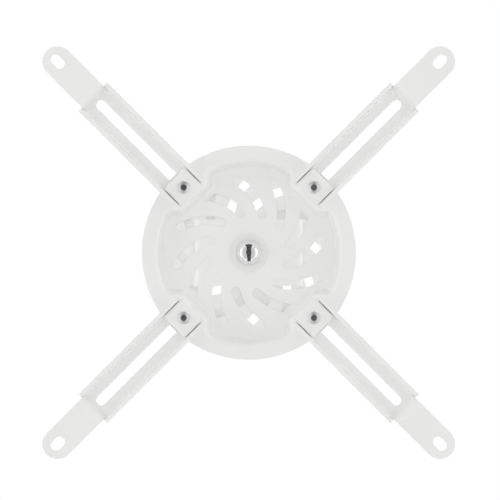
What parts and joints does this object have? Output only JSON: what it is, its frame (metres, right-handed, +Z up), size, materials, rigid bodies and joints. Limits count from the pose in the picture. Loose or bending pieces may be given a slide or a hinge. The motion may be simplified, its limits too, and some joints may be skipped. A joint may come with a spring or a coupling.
{
  "type": "projector ceiling mount",
  "caption": "Universal projector ceiling mount: vented round plates joined by a ball-joint drop bracket, with slotted channel arms that pivot and slide to reach the projector's screw holes.",
  "frame": {"origin": "centre of the ceiling bolt circle, on the face that meets the ceiling", "axes": "+Z up into the ceiling; -Y is the top of the picture, which looks straight up from below; +X is the picture's right"},
  "size_m": [0.2438, 0.2438, 0.0951],
  "materials": {
    "white_paint": "satin powder coat",
    "zinc": "bright zinc plate",
    "chrome": "polished",
    "nylon": "natural moulded"
  },
  "bodies": {
    "ceiling": {"ceiling_plate": "white_paint", "drop_bracket": "white_paint", "bracket_screws": "zinc", "bracket_nuts": "zinc"},
    "stud": {"ball_stud": "chrome", "stud_nut": "zinc", "stud_washers": "zinc", "jam_nut": "zinc", "clamp_nut": "zinc", "spring_washer": "zinc", "friction_cup": "zinc"},
    "liner": {"ball_liner": "nylon"},
    "plate": {"projector_plate": "white_paint", "arm_screws": "zinc", "arm_washers": "zinc", "arm_nuts": "zinc"},
    "pad_right_rear": {"clamp_pad_right_rear": "white_paint"},
    "arm_right_rear": {"arm_right_rear": "white_paint"},
    "pad_left_rear": {"clamp_pad_left_rear": "white_paint"},
    "arm_left_rear": {"arm_left_rear": "white_paint"},
    "pad_left_front": {"clamp_pad_left_front": "white_paint"},
    "arm_left_front": {"arm_left_front": "white_paint"},
    "pad_right_front": {"clamp_pad_right_front": "white_paint"},
    "arm_right_front": {"arm_right_front": "white_paint"}
  },
  "joints": [
    {"name": "swivel", "type": "hinge", "parent": "ceiling", "child": "stud", "pos_m": [0, 0, -0.0775], "axis": [0, 0, 1], "continuous": true},
    {"name": "tilt", "type": "hinge", "parent": "stud", "child": "liner", "pos_m": [0, 0, -0.0775], "axis": [1, 0, 0], "range_deg": [-15, 15]},
    {"name": "roll", "type": "hinge", "parent": "liner", "child": "plate", "pos_m": [0, 0, -0.0775], "axis": [0, 1, 0], "range_deg": [-15, 15]},
    {"name": "pivot_right_rear", "type": "hinge", "parent": "plate", "child": "pad_right_rear", "pos_m": [0.03854, 0.03854, -0.0861], "axis": [0, 0, 1], "range_deg": [-45, 45]},
    {"name": "slide_right_rear", "type": "slide", "parent": "pad_right_rear", "child": "arm_right_rear", "axis": [0.7071, 0.7071, 0], "range_m": [-0.026, 0]},
    {"name": "pivot_left_rear", "type": "hinge", "parent": "plate", "child": "pad_left_rear", "pos_m": [-0.03854, 0.03854, -0.0861], "axis": [0, 0, 1], "range_deg": [-45, 45]},
    {"name": "slide_left_rear", "type": "slide", "parent": "pad_left_rear", "child": "arm_left_rear", "axis": [-0.7071, 0.7071, 0], "range_m": [-0.026, 0]},
    {"name": "pivot_left_front", "type": "hinge", "parent": "plate", "child": "pad_left_front", "pos_m": [-0.03854, -0.03854, -0.0861], "axis": [0, 0, 1], "range_deg": [-45, 45]},
    {"name": "slide_left_front", "type": "slide", "parent": "pad_left_front", "child": "arm_left_front", "axis": [-0.7071, -0.7071, 0], "range_m": [-0.026, 0]},
    {"name": "pivot_right_front", "type": "hinge", "parent": "plate", "child": "pad_right_front", "pos_m": [0.03854, -0.03854, -0.0861], "axis": [0, 0, 1], "range_deg": [-45, 45]},
    {"name": "slide_right_front", "type": "slide", "parent": "pad_right_front", "child": "arm_right_front", "axis": [0.7071, -0.7071, 0], "range_m": [-0.026, 0]}
  ]
}
